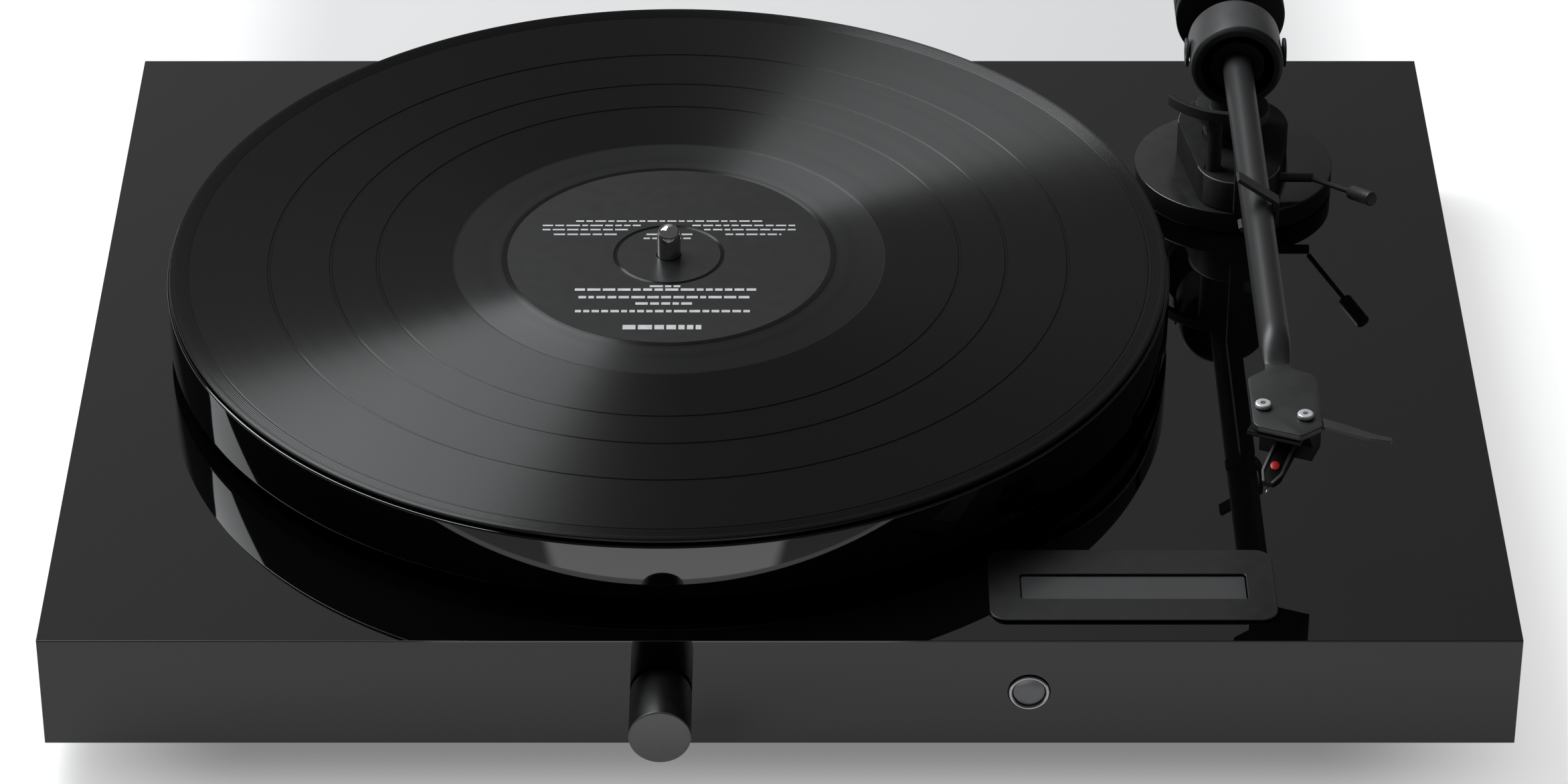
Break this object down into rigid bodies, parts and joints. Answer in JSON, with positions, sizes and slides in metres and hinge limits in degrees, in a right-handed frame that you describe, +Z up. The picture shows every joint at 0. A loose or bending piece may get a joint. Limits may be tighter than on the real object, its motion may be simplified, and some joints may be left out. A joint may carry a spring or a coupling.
{
  "type": "turntable record player",
  "caption": "Belt-drive record player with gloss plinth, round platter, record, gimballed tonearm, cueing lever, front volume knob and display",
  "frame": {"origin": "on the floor under the middle of the plinth and of the whole object, between its feet", "axes": "+Z up, +X to the listener's right, towards the tonearm, +Y to the back; the volume knob faces -Y"},
  "size_m": [0.415, 0.3646, 0.1125],
  "materials": {
    "gloss_black_lacquer": "lacquered to a mirror gloss",
    "satin_black_metal": "satin black",
    "satin_grey_plastic": "satin dark grey",
    "vinyl": "pressed black vinyl",
    "felt": "pressed felt",
    "steel": "bright steel",
    "brass": "turned",
    "rubber": "matt black",
    "dark_plastic": "fine matt",
    "window_grey": "smooth tinted",
    "board_green": "solder mask",
    "aluminium": "satin",
    "post_red": "moulded red"
  },
  "bodies": {
    "chassis": {"plinth": "gloss_black_lacquer", "bottom_plate": "satin_black_metal", "rear_panel": "satin_black_metal", "arm_base": "satin_black_metal", "arm_block": "satin_black_metal", "arm_rest": "satin_black_metal", "display_bezel": "satin_grey_plastic", "thrust_plate": "steel", "motor_bracket": "steel", "receiver_ring": "steel", "bearing_bush": "brass", "foot_front_left": "rubber", "foot_front_right": "rubber", "foot_rear_left": "rubber", "foot_rear_right": "rubber", "drive_belt": "rubber", "volume_encoder": "dark_plastic", "switch_housing": "dark_plastic", "binding_post_right_negative": "dark_plastic", "binding_post_left_negative": "dark_plastic", "line_in_jacks": "dark_plastic", "line_out_jacks": "dark_plastic", "power_inlet": "dark_plastic", "receiver_lens": "window_grey", "display_window": "window_grey", "display_board": "board_green", "amplifier_board": "board_green", "motor": "aluminium", "heat_sink": "aluminium", "arm_bearing_sleeve": "aluminium", "binding_post_right_positive": "post_red", "binding_post_left_positive": "post_red"},
    "platter": {"platter": "gloss_black_lacquer", "felt_mat": "felt", "sub_platter": "dark_plastic", "spindle": "steel"},
    "record": {"record": "vinyl"},
    "pulley": {"motor_pulley": "brass"},
    "knob_stem": {"encoder_shaft": "steel"},
    "knob": {"volume_knob": "satin_black_metal"},
    "switch": {"motor_switch": "dark_plastic"},
    "gimbal": {"arm_shaft": "satin_black_metal", "bearing_ring": "satin_black_metal", "pivot_screw_left": "satin_black_metal", "pivot_screw_right": "satin_black_metal"},
    "arm": {"arm_hub": "dark_plastic", "arm_tube": "satin_black_metal", "headshell": "satin_black_metal", "finger_lift": "satin_black_metal", "headshell_screw_left": "steel", "headshell_screw_right": "steel", "cartridge": "dark_plastic", "stylus": "dark_plastic"},
    "weight": {"counterweight": "satin_black_metal"},
    "lift": {"lift_piston": "satin_black_metal", "lift_bar": "rubber"},
    "cue": {"cue_axle": "satin_black_metal", "cue_lever": "satin_black_metal", "cue_grip": "satin_black_metal"}
  },
  "joints": [
    {"name": "platter_spin", "type": "hinge", "parent": "chassis", "child": "platter", "pos_m": [-0.0333, 0.002, 0.0529], "axis": [0, 0, -1], "continuous": true},
    {"name": "record_lift", "type": "slide", "parent": "platter", "child": "record", "axis": [0, 0, 1], "range_m": [0, 0.016]},
    {"name": "pulley_spin", "type": "hinge", "parent": "chassis", "child": "pulley", "pos_m": [-0.13289, 0.0595, 0.0477], "axis": [0, 0, -1], "continuous": true},
    {"name": "knob_push", "type": "slide", "parent": "chassis", "child": "knob_stem", "axis": [0, 1, 0], "range_m": [0, 0.0005], "stiffness_N_per_m": 1500, "springref_m": -0.001},
    {"name": "knob_turn", "type": "hinge", "parent": "knob_stem", "child": "knob", "pos_m": [-0.0333, -0.161, 0.0299], "axis": [0, -1, 0], "continuous": true},
    {"name": "motor_switch_rock", "type": "hinge", "parent": "chassis", "child": "switch", "pos_m": [-0.171, -0.134, 0.0144], "axis": [0, 1, 0], "range_deg": [0, 14]},
    {"name": "arm_swing", "type": "hinge", "parent": "chassis", "child": "gimbal", "pos_m": [0.1416, 0.084, 0.0954], "axis": [0, 0, 1], "range_deg": [-49, 0]},
    {"name": "arm_tilt", "type": "hinge", "parent": "gimbal", "child": "arm", "pos_m": [0.1416, 0.084, 0.0954], "axis": [-1, 0, 0], "range_deg": [-0.5, 0.9]},
    {"name": "counterweight_slide", "type": "slide", "parent": "arm", "child": "weight", "axis": [0, 1, 0], "range_m": [-0.008, 0.002]},
    {"name": "cue_turn", "type": "hinge", "parent": "chassis", "child": "cue", "pos_m": [0.15, 0.066, 0.0609], "axis": [-1, 0, 0], "range_deg": [0, 75]},
    {"name": "lift_rise", "type": "slide", "parent": "chassis", "child": "lift", "axis": [0, 0, 1], "range_m": [0, 0.0026]}
  ],
  "couplings": [
    {"joint": "pulley_spin", "follows": "platter_spin", "ratio": 8.9592},
    {"joint": "lift_rise", "follows": "cue_turn", "m_per_rad": 0.00191}
  ]
}
